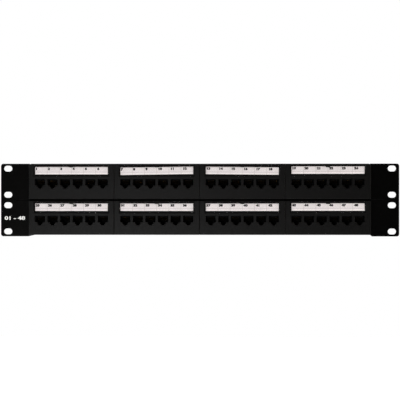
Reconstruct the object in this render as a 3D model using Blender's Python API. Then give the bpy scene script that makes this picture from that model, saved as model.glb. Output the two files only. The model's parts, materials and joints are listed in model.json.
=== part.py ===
"""A 19-inch patch panel two rack units high: a folded steel frame and eight six-port jack modules.

+X is to the right as seen from the front, +Z is up and the front faces -Y. The origin is the middle of the
rear face of the rack ears. Named sizes are in millimetres and become metres in the helpers below.
"""

import math

import bmesh
import bpy
from mathutils import Matrix, Vector

MM = 0.001
GAP = 0.3
# How far a cutter or a lapped shape reaches past the surface that it goes through
PAST = 1.0

# Facets of a quarter bend or corner, of half a slot end, and of round pieces
BEND_STEPS = 4
SLOT_STEPS = 6
HEAD_SIDES = 16
SHANK_SIDES = 12
SMOOTH_BELOW = 40.0

# Rack standard
RACK_UNIT = 44.45
PANEL_WIDTH = 482.6
PANEL_HEIGHT = 88.1
SLOT_X = 232.55
SLOT_HEIGHTS = (-38.1, -6.35, 6.35, 38.1)
SLOT_LENGTH = 10.0
SLOT_WIDTH = 7.1

# Steel frame
SHEET = 1.5
CORNER_RADIUS = 3.0
BEND_RADIUS = 2.3
FLANGE_DEPTH = 14.0
CENTRE_BOTTOM = -42.1
RELIEF_DEPTH = 1.15
RELIEF_WIDTH = 1.0
TOP_FLANGE_X = (-205.2, 205.2)
BOTTOM_FLANGE_X = (-198.0, 205.0)
LEFT_RAMP_START = -208.0
RIGHT_RAMP_END = 208.4
GROOVE_HALF_LENGTH = 223.0
GROOVE_HALF_WIDTH = 0.6
GROOVE_DEPTH = 0.4

# Modules: heights are below the top of the module's rack unit
MODULE_PITCH = 103.5
MODULES_PER_ROW = 4
BEZEL_HALF_WIDTH = 51.55
BEZEL_TOP = -1.0
BEZEL_BOTTOM = {"upper": -43.2, "lower": -42.2}
BEZEL_FRONT = -5.5
BEZEL_BACK = -SHEET - GAP
BEZEL_CHAMFER = 0.6
BODY_HALF_WIDTH = 47.6
BODY_TOP = -16.6
BODY_BOTTOM = -32.2
WINDOW_CLEARANCE = 0.4
HOOK_CENTRES = (-32.0, 32.0)
HOOK_WIDTH = 8.0
HOOK_REACH = 1.2
HOOK_LENGTH = 3.3

# Ports
PORTS = 6
PORT_PITCH = 15.24
PORT_HALF_WIDTH = 5.9
PORT_TOP = -19.3
PORT_FLOOR = -26.7
KEY_HALF_WIDTH = 3.1
KEY_FLOOR = -28.7
LATCH_HALF_WIDTH = 1.75
LATCH_FLOOR = -30.4

# Label window
RECESS_HALF_WIDTH = 45.6
RECESS_TOP = -1.9
RECESS_BOTTOM = -15.9
RECESS_FLOOR = -3.3
TAB_HALF_WIDTH = 2.5
TAB_BOTTOM = -4.9
STRIP_HALF_WIDTH = 44.35
STRIP_HALF_HEIGHT = 4.85
STRIP_MIDDLE = -8.75
STRIP_SHEET = 0.25
COVER_HALF_WIDTH = 45.2
COVER_SHEET = 0.8
COVER_HINGE = -15.2
COVER_RISE = 13.0
COVER_HEEL = 0.3
TAB_CLEARANCE = 0.4
# How each paper strip sits: millimetres up, and degrees by which its right end is raised
STRIP_SEAT = {1: (-0.15, 0.0), 2: (-0.35, 0.75), 3: (-0.3, -0.55), 4: (0.45, 0.0), 8: (0.3, 0.0)}

# Contact insert
CHANNEL_HALF_WIDTH = 46.4
CHANNEL_TOP = -17.6
CHANNEL_BOTTOM = -21.6
CHANNEL_FRONT = 6.0
TONGUE_HALF_WIDTH = 4.6
TONGUE_FRONT = 0.8
TONGUE_NOSE = -20.5
TONGUE_HEEL = -24.4
TONGUE_HEEL_FRONT = 8.6

# Circuit board and screw
BOARD_FRONT = 10.5
BOARD_SHEET = 1.6
BOARD_HALF_WIDTH = 48.5
BOARD_TOP = -5.8
BOARD_BOTTOM = -39.6
SCREW_HEIGHT = -28.6
SCREW_RADIUS = 1.1
SCREW_HEAD_RADIUS = 2.0
SCREW_HEAD_HEIGHT = 1.6
SCREW_TIP = 3.2
SCREW_HOLE_RADIUS = SCREW_RADIUS + GAP
SCREW_HOLE_END = 2.6

# Punch-down block
BLOCK_HALF_WIDTH = 47.4
BLOCK_TOP = -7.0
BLOCK_BOTTOM = -38.4
BLOCK_BASE = 2.2
BLOCK_BACK = 26.6
LADDER_TOP = -14.5
LADDER_BOTTOM = -31.0
LADDER_OPENINGS = ((-45.0, -17.5), (-13.0, 13.0), (17.5, 45.0))
RAIL_HALF_WIDTH = 46.8
RAIL_SPANS = ((-13.5, -7.5), (-38.0, -32.0))
SLOT_FLOOR = 19.0
PAIR_PITCH = 7.62
PAIRS_PER_RAIL = 12
TOOTH_ROOT = 2.9
TOOTH_TIP = 1.0

# Outlines are drawn in a plane and extruded along the axis named here.
ALONG_X = Matrix(((0, 0, 1, 0), (1, 0, 0, 0), (0, 1, 0, 0), (0, 0, 0, 1)))
ALONG_Y = Matrix.Rotation(math.radians(90), 4, "X")
ALONG_Z = Matrix.Identity(4)


def clear_scene():
    for obj in list(bpy.data.objects):
        bpy.data.objects.remove(obj, do_unlink=True)


def new_collection(name):
    collection = bpy.data.collections.new(name)
    bpy.context.scene.collection.children.link(collection)
    return collection


def new_material(name, colour, roughness, metallic=0.0, alpha=1.0):
    material = bpy.data.materials.new(name)
    material.use_nodes = True
    shader = material.node_tree.nodes["Principled BSDF"]
    shader.inputs["Base Color"].default_value = (*colour, 1.0)
    shader.inputs["Roughness"].default_value = roughness
    shader.inputs["Metallic"].default_value = metallic
    shader.inputs["Alpha"].default_value = alpha
    material.diffuse_color = (*colour, alpha)
    return material


def rectangle(left, right, bottom, top):
    return [(left, bottom), (right, bottom), (right, top), (left, top)]


def arc(centre, radius, start, end, steps):
    """Points on an arc, from one angle to another in degrees."""
    angles = [math.radians(start + (end - start) * step / steps) for step in range(steps + 1)]
    return [(centre[0] + radius * math.cos(a), centre[1] + radius * math.sin(a)) for a in angles]


def obround(centre_x, centre_z, length, width):
    """A slot that lies level, with half-round ends."""
    radius = width / 2
    offset = length / 2 - radius
    right = arc((centre_x + offset, centre_z), radius, -90, 90, SLOT_STEPS)
    left = arc((centre_x - offset, centre_z), radius, 90, 270, SLOT_STEPS)
    return right + left


def new_box(name, low, high):
    """A box between two corners."""
    bm = bmesh.new()
    bmesh.ops.create_cube(bm, size=1.0)
    for vert in bm.verts:
        vert.co = Vector(low[i] + (vert.co[i] + 0.5) * (high[i] - low[i]) for i in range(3)) * MM
    mesh = bpy.data.meshes.new(name)
    bm.to_mesh(mesh)
    bm.free()
    obj = bpy.data.objects.new(name, mesh)
    helpers.objects.link(obj)
    return obj


def new_prism(name, loops, axis, low, high):
    """One or more flat outlines extruded from low to high along an axis. A loop inside another is a hole."""
    curve = bpy.data.curves.new(name, "CURVE")
    curve.dimensions = "2D"
    curve.fill_mode = "BOTH"
    curve.extrude = (high - low) / 2 * MM
    for loop in loops:
        spline = curve.splines.new("POLY")
        spline.points.add(len(loop) - 1)
        for point, (across, up) in zip(spline.points, loop):
            point.co = (across * MM, up * MM, 0.0, 1.0)
        spline.use_cyclic_u = True
    drawn = bpy.data.objects.new(name, curve)
    helpers.objects.link(drawn)
    direction = axis.to_3x3() @ Vector((0, 0, 1))
    sense = sum(direction)
    drawn.matrix_world = Matrix.Translation(direction * sense * (low + high) / 2 * MM) @ axis
    graph = bpy.context.evaluated_depsgraph_get()
    mesh = bpy.data.meshes.new_from_object(drawn.evaluated_get(graph))
    bm = bmesh.new()
    bm.from_mesh(mesh)
    bmesh.ops.remove_doubles(bm, verts=bm.verts, dist=1e-7)
    bm.to_mesh(mesh)
    bm.free()
    solid = bpy.data.objects.new(name, mesh)
    helpers.objects.link(solid)
    solid.matrix_world = drawn.matrix_world
    bpy.data.objects.remove(drawn)
    return solid


def new_cylinder(name, radius, front, back, height, sides):
    """A cylinder that runs from front to back at a height."""
    bm = bmesh.new()
    bmesh.ops.create_cone(
        bm,
        cap_ends=True,
        segments=sides,
        radius1=radius * MM,
        radius2=radius * MM,
        depth=(back - front) * MM,
        matrix=Matrix.Translation(Vector((0, (front + back) / 2, height)) * MM) @ ALONG_Y,
    )
    mesh = bpy.data.meshes.new(name)
    bm.to_mesh(mesh)
    bm.free()
    obj = bpy.data.objects.new(name, mesh)
    helpers.objects.link(obj)
    return obj


def combine(base, other, operation):
    """Applies a Boolean with the other object, which is used up."""
    modifier = base.modifiers.new("combine", "BOOLEAN")
    modifier.operation = operation
    modifier.object = other
    modifier.solver = "EXACT"
    graph = bpy.context.evaluated_depsgraph_get()
    mesh = bpy.data.meshes.new_from_object(base.evaluated_get(graph))
    base.modifiers.clear()
    base.data = mesh
    bpy.data.objects.remove(other)


def chamfer_front(obj, width):
    """Takes the edges off a box around its front face."""
    bm = bmesh.new()
    bm.from_mesh(obj.data)
    front = min(vert.co.y for vert in bm.verts)
    edges = [edge for edge in bm.edges if all(abs(vert.co.y - front) < 1e-7 for vert in edge.verts)]
    bmesh.ops.bevel(bm, geom=edges, offset=width * MM, segments=1, affect="EDGES")
    bm.to_mesh(obj.data)
    bm.free()


def place(master, name, material, matrix):
    """Puts a copy of a finished solid in the panel's collection. Copies share the mesh."""
    obj = bpy.data.objects.new(name, master.data)
    if not obj.data.materials:
        obj.data.materials.append(material)
    obj.matrix_world = matrix @ master.matrix_world
    parts.objects.link(obj)
    return obj


def module_place(number):
    """Where a module's frame lies: the middle of its width, at the top of its rack unit."""
    row, column = divmod(number - 1, MODULES_PER_ROW)
    centre_x = (column - (MODULES_PER_ROW - 1) / 2) * MODULE_PITCH
    return Matrix.Translation(Vector((centre_x, 0, RACK_UNIT * (1 - row))) * MM)


def port_centres():
    return [(index - (PORTS - 1) / 2) * PORT_PITCH for index in range(PORTS)]


def plate_outline():
    """The flat sheet with its ears, bend reliefs and the two ramps of its bottom edge."""
    half_width = PANEL_WIDTH / 2
    half_height = PANEL_HEIGHT / 2
    inner = (half_width - CORNER_RADIUS, half_height - CORNER_RADIUS)
    bottom_bend = CENTRE_BOTTOM + BEND_RADIUS
    top_bend = half_height - BEND_RADIUS
    left, right = BOTTOM_FLANGE_X
    outline = arc((-inner[0], -inner[1]), CORNER_RADIUS, 180, 270, BEND_STEPS)
    outline += [
        (LEFT_RAMP_START, -half_height),
        (left - RELIEF_WIDTH, CENTRE_BOTTOM),
        (left - RELIEF_WIDTH, bottom_bend + RELIEF_DEPTH),
        (left, bottom_bend + RELIEF_DEPTH),
        (left, bottom_bend),
        (right, bottom_bend),
        (right, bottom_bend + RELIEF_DEPTH),
        (right + RELIEF_WIDTH, bottom_bend + RELIEF_DEPTH),
        (right + RELIEF_WIDTH, CENTRE_BOTTOM),
        (RIGHT_RAMP_END, -half_height),
    ]
    outline += arc((inner[0], -inner[1]), CORNER_RADIUS, 270, 360, BEND_STEPS)
    outline += arc(inner, CORNER_RADIUS, 0, 90, BEND_STEPS)
    left, right = TOP_FLANGE_X
    outline += [
        (right + RELIEF_WIDTH, half_height),
        (right + RELIEF_WIDTH, top_bend - RELIEF_DEPTH),
        (right, top_bend - RELIEF_DEPTH),
        (right, top_bend),
        (left, top_bend),
        (left, top_bend - RELIEF_DEPTH),
        (left - RELIEF_WIDTH, top_bend - RELIEF_DEPTH),
        (left - RELIEF_WIDTH, half_height),
    ]
    outline += arc((-inner[0], inner[1]), CORNER_RADIUS, 90, 180, BEND_STEPS)
    return outline


def module_windows():
    """The rectangles in the plate that the module bodies pass through."""
    half_width = BODY_HALF_WIDTH + WINDOW_CLEARANCE
    windows = []
    for number in range(1, 2 * MODULES_PER_ROW + 1):
        centre = module_place(number).translation / MM
        bottom = centre.z + BODY_BOTTOM - WINDOW_CLEARANCE
        top = centre.z + BODY_TOP + WINDOW_CLEARANCE
        windows.append(rectangle(centre.x - half_width, centre.x + half_width, bottom, top))
    return windows


def flange_profile(edge, sense):
    """The section of a folded flange and its bend. The edge is its outer face; sense is +1 at the top."""
    bend = edge - sense * BEND_RADIUS
    centre = (BEND_RADIUS - SHEET, bend)
    lap = bend - sense * RELIEF_DEPTH / 2
    outer = arc(centre, BEND_RADIUS, 180, 180 - sense * 90, BEND_STEPS)
    inner = arc(centre, BEND_RADIUS - SHEET, 180 - sense * 90, 180, BEND_STEPS)
    tip = [(FLANGE_DEPTH, edge), (FLANGE_DEPTH, edge - sense * SHEET)]
    return [(-SHEET, lap)] + outer + tip + inner + [(0, lap)]


def build_frame():
    slots = [
        obround(side * SLOT_X, height, SLOT_LENGTH, SLOT_WIDTH)
        for side in (-1, 1)
        for height in SLOT_HEIGHTS
    ]
    frame = new_prism("frame", [plate_outline()], ALONG_Y, -SHEET, 0)
    top = new_prism("top", [flange_profile(PANEL_HEIGHT / 2, 1)], ALONG_X, *TOP_FLANGE_X)
    combine(frame, top, "UNION")
    bottom = new_prism("bottom", [flange_profile(CENTRE_BOTTOM, -1)], ALONG_X, *BOTTOM_FLANGE_X)
    combine(frame, bottom, "UNION")
    holes = new_prism("holes", [*slots, *module_windows()], ALONG_Y, -2 * SHEET, SHEET)
    combine(frame, holes, "DIFFERENCE")
    groove = [
        (-SHEET - GROOVE_DEPTH, -2 * GROOVE_HALF_WIDTH),
        (-SHEET + GROOVE_DEPTH, 0),
        (-SHEET - GROOVE_DEPTH, 2 * GROOVE_HALF_WIDTH),
    ]
    cutter = new_prism("groove", [groove], ALONG_X, -GROOVE_HALF_LENGTH, GROOVE_HALF_LENGTH)
    combine(frame, cutter, "DIFFERENCE")
    return frame


def port_outline(centre):
    """The mouth of a port: the plug's width, then the key step and the latch notch below it."""
    return [
        (centre - LATCH_HALF_WIDTH, LATCH_FLOOR),
        (centre + LATCH_HALF_WIDTH, LATCH_FLOOR),
        (centre + LATCH_HALF_WIDTH, KEY_FLOOR),
        (centre + KEY_HALF_WIDTH, KEY_FLOOR),
        (centre + KEY_HALF_WIDTH, PORT_FLOOR),
        (centre + PORT_HALF_WIDTH, PORT_FLOOR),
        (centre + PORT_HALF_WIDTH, PORT_TOP),
        (centre - PORT_HALF_WIDTH, PORT_TOP),
        (centre - PORT_HALF_WIDTH, PORT_FLOOR),
        (centre - KEY_HALF_WIDTH, PORT_FLOOR),
        (centre - KEY_HALF_WIDTH, KEY_FLOOR),
        (centre - LATCH_HALF_WIDTH, KEY_FLOOR),
    ]


def hook_profile(edge, sense):
    """The section of a snap hook on the body's top (sense +1) or bottom (-1)."""
    root = edge - sense * GAP
    crest = edge + sense * HOOK_REACH
    return [(GAP, root), (GAP, crest), (GAP + HOOK_REACH / 2, crest), (GAP + HOOK_LENGTH, root)]


def build_housing(row):
    """A bezel plate, the body that holds the ports, four snap hooks and the label recess, in one moulding."""
    back = BOARD_FRONT - GAP
    low = (-BEZEL_HALF_WIDTH, BEZEL_FRONT, BEZEL_BOTTOM[row])
    housing = new_box("housing", low, (BEZEL_HALF_WIDTH, BEZEL_BACK, BEZEL_TOP))
    chamfer_front(housing, BEZEL_CHAMFER)
    low = (-BODY_HALF_WIDTH, BEZEL_BACK - PAST, BODY_BOTTOM)
    combine(housing, new_box("body", low, (BODY_HALF_WIDTH, back, BODY_TOP)), "UNION")
    for edge, sense in ((BODY_TOP, 1), (BODY_BOTTOM, -1)):
        for centre in HOOK_CENTRES:
            span = (centre - HOOK_WIDTH / 2, centre + HOOK_WIDTH / 2)
            combine(housing, new_prism("hook", [hook_profile(edge, sense)], ALONG_X, *span), "UNION")
    ports = [port_outline(centre) for centre in port_centres()]
    combine(housing, new_prism("ports", ports, ALONG_Y, BEZEL_FRONT - PAST, back + PAST), "DIFFERENCE")
    low = (-CHANNEL_HALF_WIDTH, CHANNEL_FRONT, CHANNEL_BOTTOM)
    high = (CHANNEL_HALF_WIDTH, back + PAST, CHANNEL_TOP)
    combine(housing, new_box("channel", low, high), "DIFFERENCE")
    low = (-RECESS_HALF_WIDTH, BEZEL_FRONT - PAST, RECESS_BOTTOM)
    high = (RECESS_HALF_WIDTH, RECESS_FLOOR, RECESS_TOP)
    combine(housing, new_box("recess", low, high), "DIFFERENCE")
    low = (-TAB_HALF_WIDTH, BEZEL_FRONT + BEZEL_CHAMFER / 2, TAB_BOTTOM)
    high = (TAB_HALF_WIDTH, cover_back(), (BEZEL_TOP + RECESS_TOP) / 2)
    combine(housing, new_box("tab", low, high), "UNION")
    hole = new_cylinder("hole", SCREW_HOLE_RADIUS, SCREW_HOLE_END, back + PAST, SCREW_HEIGHT, SHANK_SIDES)
    combine(housing, hole, "DIFFERENCE")
    return housing


def strip_front():
    """The front of the paper strips, which lie just off the floor of the recess."""
    return RECESS_FLOOR - GAP - STRIP_SHEET


def cover_back():
    """The back of a closed cover, just off the paper strip."""
    return strip_front() - GAP


def build_strip():
    outline = rectangle(-STRIP_HALF_WIDTH, STRIP_HALF_WIDTH, -STRIP_HALF_HEIGHT, STRIP_HALF_HEIGHT)
    return new_prism("strip", [outline], ALONG_Y, strip_front(), strip_front() + STRIP_SHEET)


def build_cover():
    """The clear window, drawn about its hinge line, with a notch for the housing's tab."""
    notch_half = TAB_HALF_WIDTH + TAB_CLEARANCE
    notch_floor = TAB_BOTTOM - TAB_CLEARANCE - COVER_HINGE
    outline = [
        (-COVER_HALF_WIDTH, -COVER_HEEL),
        (COVER_HALF_WIDTH, -COVER_HEEL),
        (COVER_HALF_WIDTH, COVER_RISE),
        (notch_half, COVER_RISE),
        (notch_half, notch_floor),
        (-notch_half, notch_floor),
        (-notch_half, COVER_RISE),
        (-COVER_HALF_WIDTH, COVER_RISE),
    ]
    return new_prism("cover", [outline], ALONG_Y, -COVER_SHEET / 2, COVER_SHEET / 2)


def build_insert():
    """A bar in the housing's rear channel with a sloping tongue for each port's spring contacts."""
    back = BOARD_FRONT - GAP
    low = (-CHANNEL_HALF_WIDTH + GAP, CHANNEL_FRONT + GAP, CHANNEL_BOTTOM + GAP)
    insert = new_box("insert", low, (CHANNEL_HALF_WIDTH - GAP, back, CHANNEL_TOP - GAP))
    profile = [
        (TONGUE_FRONT, PORT_TOP - GAP),
        (TONGUE_FRONT, TONGUE_NOSE),
        (TONGUE_HEEL_FRONT, TONGUE_HEEL),
        (back - GAP, TONGUE_HEEL),
        (back - GAP, PORT_TOP - GAP),
    ]
    for centre in port_centres():
        span = (centre - TONGUE_HALF_WIDTH, centre + TONGUE_HALF_WIDTH)
        combine(insert, new_prism("tongue", [profile], ALONG_X, *span), "UNION")
    return insert


def build_board():
    outline = rectangle(-BOARD_HALF_WIDTH, BOARD_HALF_WIDTH, BOARD_BOTTOM, BOARD_TOP)
    last = 360 - 360 / SHANK_SIDES
    hole = arc((0, SCREW_HEIGHT), SCREW_HOLE_RADIUS, 0, last, SHANK_SIDES - 1)
    return new_prism("board", [outline, hole], ALONG_Y, BOARD_FRONT, BOARD_FRONT + BOARD_SHEET)


def comb_outline(front):
    """A rail with tapered teeth, seen along Z. A wire pair goes into each slot between two teeth."""
    outline = [(-RAIL_HALF_WIDTH, front), (RAIL_HALF_WIDTH, front)]
    for index in range(PAIRS_PER_RAIL, -1, -1):
        centre = (index - PAIRS_PER_RAIL / 2) * PAIR_PITCH
        right = min(centre + TOOTH_ROOT, RAIL_HALF_WIDTH)
        left = max(centre - TOOTH_ROOT, -RAIL_HALF_WIDTH)
        outline += [
            (right, SLOT_FLOOR),
            (min(centre + TOOTH_TIP, RAIL_HALF_WIDTH), BLOCK_BACK),
            (max(centre - TOOTH_TIP, -RAIL_HALF_WIDTH), BLOCK_BACK),
            (left, SLOT_FLOOR),
        ]
    return outline


def build_block():
    """A ladder-shaped base with two rails of punch-down slots."""
    front = BOARD_FRONT + BOARD_SHEET + GAP
    back = front + BLOCK_BASE
    high = (BLOCK_HALF_WIDTH, back, BLOCK_TOP)
    block = new_box("block", (-BLOCK_HALF_WIDTH, front, BLOCK_BOTTOM), high)
    openings = [rectangle(left, right, LADDER_BOTTOM, LADDER_TOP) for left, right in LADDER_OPENINGS]
    cutter = new_prism("openings", openings, ALONG_Y, front - BLOCK_BASE, back + BLOCK_BASE)
    combine(block, cutter, "DIFFERENCE")
    for span in RAIL_SPANS:
        rail = new_prism("rail", [comb_outline(back - BLOCK_BASE / 2)], ALONG_Z, *span)
        combine(block, rail, "UNION")
    return block


def build_screw():
    head_front = BOARD_FRONT + BOARD_SHEET + GAP
    head_back = head_front + SCREW_HEAD_HEIGHT
    screw = new_cylinder("screw", SCREW_HEAD_RADIUS, head_front, head_back, SCREW_HEIGHT, HEAD_SIDES)
    shank = new_cylinder("shank", SCREW_RADIUS, SCREW_TIP, head_front + GAP, SCREW_HEIGHT, SHANK_SIDES)
    combine(screw, shank, "UNION")
    screw.data.shade_smooth()
    screw.data.set_sharp_from_angle(angle=math.radians(SMOOTH_BELOW))
    return screw


def place_modules():
    plastic = new_material("black_plastic", (0.016, 0.016, 0.016), 0.45)
    contact = new_material("gold_contact", (0.75, 0.55, 0.22), 0.3, metallic=1.0)
    board = new_material("green_board", (0.02, 0.16, 0.07), 0.4)
    block = new_material("black_block", (0.02, 0.02, 0.02), 0.5)
    paper = new_material("white_paper", (0.8, 0.79, 0.78), 0.8)
    clear = new_material("clear_plastic", (0.95, 0.96, 0.97), 0.08, alpha=0.25)
    zinc = new_material("zinc_screw", (0.6, 0.6, 0.62), 0.35, metallic=1.0)
    housings = {row: build_housing(row) for row in BEZEL_BOTTOM}
    inserts = build_insert()
    boards = build_board()
    blocks = build_block()
    strips = build_strip()
    covers = build_cover()
    screws = build_screw()
    for number in range(1, 2 * MODULES_PER_ROW + 1):
        origin = module_place(number)
        row = "upper" if number <= MODULES_PER_ROW else "lower"
        place(housings[row], f"jack_housing_{number}", plastic, origin)
        place(inserts, f"contact_insert_{number}", contact, origin)
        place(boards, f"circuit_board_{number}", board, origin)
        place(blocks, f"idc_block_{number}", block, origin)
        place(screws, f"module_screw_{number}", zinc, origin)
        raised, tilt = STRIP_SEAT.get(number, (0.0, 0.0))
        seat = Matrix.Translation(Vector((0, 0, STRIP_MIDDLE + raised)) * MM)
        turn = Matrix.Rotation(math.radians(-tilt), 4, "Y")
        place(strips, f"label_strip_{number}", paper, origin @ seat @ turn)
        hinge = Vector((0, cover_back() - COVER_SHEET / 2, COVER_HINGE)) * MM
        place(covers, f"label_cover_{number}", clear, origin @ Matrix.Translation(hinge))


clear_scene()
parts = new_collection("patch_panel")
helpers = new_collection("patch_panel_helpers")
coated_steel = new_material("coated_steel", (0.006, 0.006, 0.006), 0.4)
place(build_frame(), "steel_frame", coated_steel, Matrix.Identity(4))
place_modules()
for helper in list(helpers.objects):
    bpy.data.objects.remove(helper)
bpy.data.collections.remove(helpers)
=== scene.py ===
"""Looks of the two-unit patch panel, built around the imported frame.

+X is to the right seen from the front, +Z is up and the front faces -Y, as in the frame. Named sizes are in
millimetres. A module's own heights are measured down from the top of its rack unit.
"""

import json
import math

import bmesh
import bpy
from mathutils import Matrix, Vector


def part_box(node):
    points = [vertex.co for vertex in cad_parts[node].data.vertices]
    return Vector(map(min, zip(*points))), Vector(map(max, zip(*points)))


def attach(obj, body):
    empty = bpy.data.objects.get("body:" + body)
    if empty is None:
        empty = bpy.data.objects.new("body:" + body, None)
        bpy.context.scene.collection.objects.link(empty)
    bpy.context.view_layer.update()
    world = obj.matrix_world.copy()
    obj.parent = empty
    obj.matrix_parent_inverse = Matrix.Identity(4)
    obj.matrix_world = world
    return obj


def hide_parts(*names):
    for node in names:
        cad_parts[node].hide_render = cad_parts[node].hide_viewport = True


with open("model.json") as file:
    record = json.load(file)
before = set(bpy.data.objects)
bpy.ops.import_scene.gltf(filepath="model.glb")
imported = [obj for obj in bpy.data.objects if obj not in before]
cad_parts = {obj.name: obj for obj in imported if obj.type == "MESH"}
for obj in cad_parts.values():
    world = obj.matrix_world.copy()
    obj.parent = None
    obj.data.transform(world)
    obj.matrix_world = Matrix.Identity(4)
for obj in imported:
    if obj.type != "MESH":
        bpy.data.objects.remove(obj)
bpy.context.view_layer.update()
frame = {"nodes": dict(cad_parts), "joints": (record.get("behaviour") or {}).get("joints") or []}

MM = 0.001
MODULES = range(1, 9)
MODULES_PER_ROW = 4
PORTS = 6
# The thinnest layer modelled, how far a cutter reaches past a face, and how far a joined piece sinks in
FINEST = 0.02
PAST = 1.0
SINK = 0.05

# Steel frame
SHEET = 1.5
CORNER_RADIUS = 3.0
BEND_RADIUS = 2.3
CENTRE_BOTTOM = -42.1
RELIEF_DEPTH = 1.15
RELIEF_WIDTH = 1.0
TOP_FLANGE_X = (-205.2, 205.2)
BOTTOM_FLANGE_X = (-198.0, 205.0)
LEFT_RAMP_START = -208.0
RIGHT_RAMP_END = 208.4
SLOT_LENGTH = 10.0
SLOT_WIDTH = 7.1
SLOT_X = 232.55
SLOT_HEIGHTS = (-38.1, -6.35, 6.35, 38.1)
GROOVE_HALF_LENGTH = 223.0
GROOVE_HALF_WIDTH = 0.6
GROOVE_DEPTH = 0.4
WINDOW_HALF_WIDTH = 48.0
WINDOW_SPAN = (-32.6, -16.2)
STEEL_EDGE = 0.18

# Jack housing
BEZEL_TOP = -1.0
BEZEL_BACK = -1.8
BEZEL_ROUND = 0.6
BODY_HALF_WIDTH = 47.6
BODY_SPAN = (-32.2, -16.6)
HOOK_CENTRES = (-32.0, 32.0)
HOOK_WIDTH = 8.0
HOOK_SINK = 0.3
HOOK_RISE = 1.2
# Where a hook's face, crest and ramp stand behind the rack plane
HOOK_FACE = 0.3
HOOK_CREST_END = 0.9
HOOK_RAMP_END = 3.6
PORT_PITCH = 15.24
PORT_HALF_WIDTH = 5.9
PORT_TOP = -19.3
PORT_FLOOR = -26.7
KEY_HALF_WIDTH = 3.1
KEY_FLOOR = -28.7
LATCH_HALF_WIDTH = 1.75
LATCH_FLOOR = -30.4
PORT_BACK = 9.7
MOUTH_FLARE = 0.4
MOUTH_DEPTH = 1.4
# The depths between which the plastic turns from satin to matt, and the width of the matt rim of the recess
MATT_FROM = -5.1
MATT_FULL = -4.4
MATT_RIM = 0.5
MATT_ROUGHNESS = 0.85
RECESS_HALF_WIDTH = 45.6
RECESS_SPAN = (-15.9, -1.9)
RECESS_FLOOR = -3.3
TAB_HALF_WIDTH = 2.5
TAB_BOTTOM = -4.9
TAB_BACK = -4.15
TAB_ROUND = 0.2
CHANNEL_HALF_WIDTH = 46.4
CHANNEL_SPAN = (-21.6, -17.6)
CHANNEL_FRONT = 6.0
SCREW_HEIGHT = -28.6
SCREW_HOLE_RADIUS = 1.4
SCREW_HOLE_END = 2.6

# Contact wires: the underside of the insert's tongue, as depth and height
TONGUE_NOSE = (0.8, -20.5)
TONGUE_HEEL = (8.6, -24.4)
WIRES_PER_PORT = 8
WIRE_PITCH = 1.02
WIRE_RADIUS = 0.16
WIRE_CLEARANCE = 0.06
WIRE_INSET = 0.35
WIRE_BOWS = ((0.3, 0.35), (0.65, 0.4))
WIRE_TAIL = 0.9

# Circuit board
BOARD_ROUND = 1.0
BOARD_EDGE = 0.08
TRACK_PITCH = 1.27
# Where the tracks run aslant: from one height to another, and how far they move across
TRACK_JOGS = ((-15.5, -17.5, 2.0), (-23.5, -26.5, -3.0), (-29.5, -31.0, 1.5))
SOLDER_ROWS = (-19.0, -21.5)
SOLDER_FOOT_RADIUS = 0.2
SOLDER_TOP_RADIUS = 0.52
SOLDER_HEIGHT = 0.55
PIN_RADIUS = 0.15
PIN_HEIGHT = 1.1
PIN_PITCH = 1.24 * WIRE_PITCH
BOARD_DIGITS_HEIGHT = -27.6
BOARD_DIGIT_SIZE = 2.0
BOARD_DIGIT_WEIGHT = 0.04

# Punch-down block
BLOCK_BASE = 2.2
BLOCK_ROUND = 1.2
BLOCK_EDGE = 0.2
LADDER_SPAN = (-31.0, -14.5)
LADDER_OPENINGS = ((-45.0, -17.5), (-13.0, 13.0), (17.5, 45.0))
LADDER_ROUND = 0.8
RAIL_HALF_WIDTH = 46.8
RAIL_SPANS = ((-13.5, -7.5), (-38.0, -32.0))
RAIL_EDGE = 0.12
WIRE_SLOTS = 24
WIRE_SLOT_PITCH = 3.81
WIRE_SLOT_WIDTH = 1.0
WIRE_SLOT_FLOOR = 18.2
TOOTH_SHOULDER = 23.4
SHORT_TOOTH_DROP = 1.5
TOOTH_TIP_HALF_WIDTH = 0.35
# The metal clip in a wire slot: half the gap between its tines, and how far they reach into slot and teeth
CLIP_HALF_GAP = 0.14
CLIP_OVERLAP = 0.1
CLIP_SINK = 0.2
CLIP_BELOW_SHOULDER = 0.4
CLIP_HALF_WIDTH = 0.9
CLIP_EDGE = 0.06
MARK_HALF_WIDTH = 2.6
MARK_SPAN = (15.4, 17.2)
MARK_ROUND = 0.4
PAIR_COLOURS = {
    "blue": (0.02, 0.09, 0.42),
    "orange": (0.72, 0.17, 0.02),
    "green": (0.02, 0.26, 0.07),
    "brown": (0.13, 0.05, 0.02),
}

# Board screw
SCREW_HEAD_HEIGHT = 1.6
SCREW_CROWN = 0.55
# The width of the crown where it meets the head, as a share of the head's width
CROWN_FOOT = 0.62
SHANK_RADIUS = 1.1
SHANK_SINK = 0.3
CROSS_HALF_LENGTH = 1.15
CROSS_HALF_WIDTH = 0.24
CROSS_DEPTH = 0.9

# Label window
STRIP_HALF_WIDTH = 44.1
STRIP_HALF_HEIGHT = 4.5
STRIP_BOW = 0.1
STRIP_RIPPLE = 0.03
STRIP_WAVES = (5.1, 1.3)
COVER_HALF_WIDTH = 45.2
COVER_SHEET = 0.8
COVER_RISE = 13.0
COVER_HEEL = 0.3
COVER_EDGE = 0.08
NOTCH_HALF_WIDTH = 2.9
NOTCH_FLOOR = 9.9
DIGIT_SIZE = 3.6
DIGIT_WEIGHT = 0.28
DIGIT_STRETCH = 1.3
DIGIT_PITCH = 15.0
PRINT_LIFT = 0.04
DIGIT_FROM_TOP = 2.4
# How far one figure or two stand to the side of each step of that pitch
ONE_DIGIT_SHIFT = -4.9
TWO_DIGITS_SHIFT = -3.6

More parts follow.
